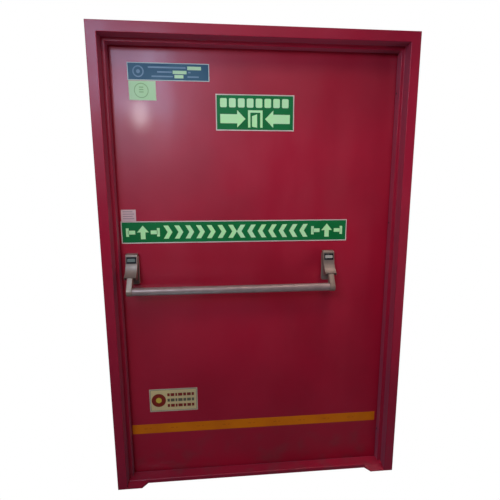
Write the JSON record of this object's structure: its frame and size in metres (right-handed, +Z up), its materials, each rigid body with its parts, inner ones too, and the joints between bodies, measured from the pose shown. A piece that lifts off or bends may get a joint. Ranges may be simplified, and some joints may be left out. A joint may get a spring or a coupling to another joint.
{
  "type": "emergency exit door",
  "caption": "Steel emergency exit door in its double-rebate frame, with a push bar between two end cases, plain safety signs and butt hinges.",
  "frame": {"origin": "on the floor under the sill, midway between the jambs and midway through the frame's depth", "axes": "+X to the right seen from the push side, towards the hinges; +Y through the door from the push side to the pull side; +Z up"},
  "size_m": [1.388, 0.1785, 2.1],
  "materials": {
    "frame_paint": "satin dark red enamel",
    "leaf_paint": "satin dark red enamel",
    "leaf_infill": "matt board",
    "seal_rubber": "matt",
    "hinge_steel": "satin",
    "lock_steel": "satin",
    "case_metal": "satin silver paint",
    "pin_steel": "satin",
    "tube_metal": "satin",
    "window_plastic": "gloss black",
    "sign_green": "satin print",
    "plate_blue": "satin print",
    "label_pale": "satin print",
    "tape_amber": "satin film"
  },
  "bodies": {
    "frame": {"latch_jamb": "frame_paint", "hinge_jamb": "frame_paint", "frame_head": "frame_paint", "sill": "frame_paint", "latch_foot_plate": "frame_paint", "hinge_foot_plate": "frame_paint", "latch_seal": "seal_rubber", "hinge_seal": "seal_rubber", "head_seal": "seal_rubber", "strike_plate": "lock_steel", "bottom_frame_wing": "hinge_steel", "middle_frame_wing": "hinge_steel", "top_frame_wing": "hinge_steel"},
    "leaf": {"leaf_push_skin": "leaf_paint", "leaf_pull_skin": "leaf_paint", "leaf_core": "leaf_infill", "leaf_latch_edge": "leaf_paint", "leaf_hinge_edge": "leaf_paint", "leaf_top_channel": "leaf_paint", "leaf_bottom_channel": "leaf_paint", "bottom_leaf_wing": "hinge_steel", "middle_leaf_wing": "hinge_steel", "top_leaf_wing": "hinge_steel", "lock_faceplate": "lock_steel", "latch_bolt": "lock_steel", "latch_case_base": "case_metal", "hinge_case_base": "case_metal", "latch_pivot_pin": "pin_steel", "hinge_pivot_pin": "pin_steel", "exit_sign": "sign_green", "push_sign": "sign_green", "certificate_plate": "plate_blue", "green_label": "label_pale", "grey_label": "label_pale", "rating_sticker": "label_pale", "warning_tape": "tape_amber"},
    "push_bar": {"latch_hood": "case_metal", "hinge_hood": "case_metal", "latch_arm": "case_metal", "hinge_arm": "case_metal", "bar_tube": "tube_metal", "latch_window": "window_plastic", "hinge_window": "window_plastic"}
  },
  "joints": [
    {"name": "leaf_swing", "type": "hinge", "parent": "frame", "child": "leaf", "pos_m": [0.6475, 0.08, 1], "axis": [0, 0, -1], "range_deg": [0, 110]},
    {"name": "push_bar", "type": "hinge", "parent": "leaf", "child": "push_bar", "pos_m": [-0.1215, 0, 1.13], "axis": [1, 0, 0], "range_deg": [0, 18], "stiffness_Nm_per_rad": 12, "springref_deg": -34.38}
  ]
}
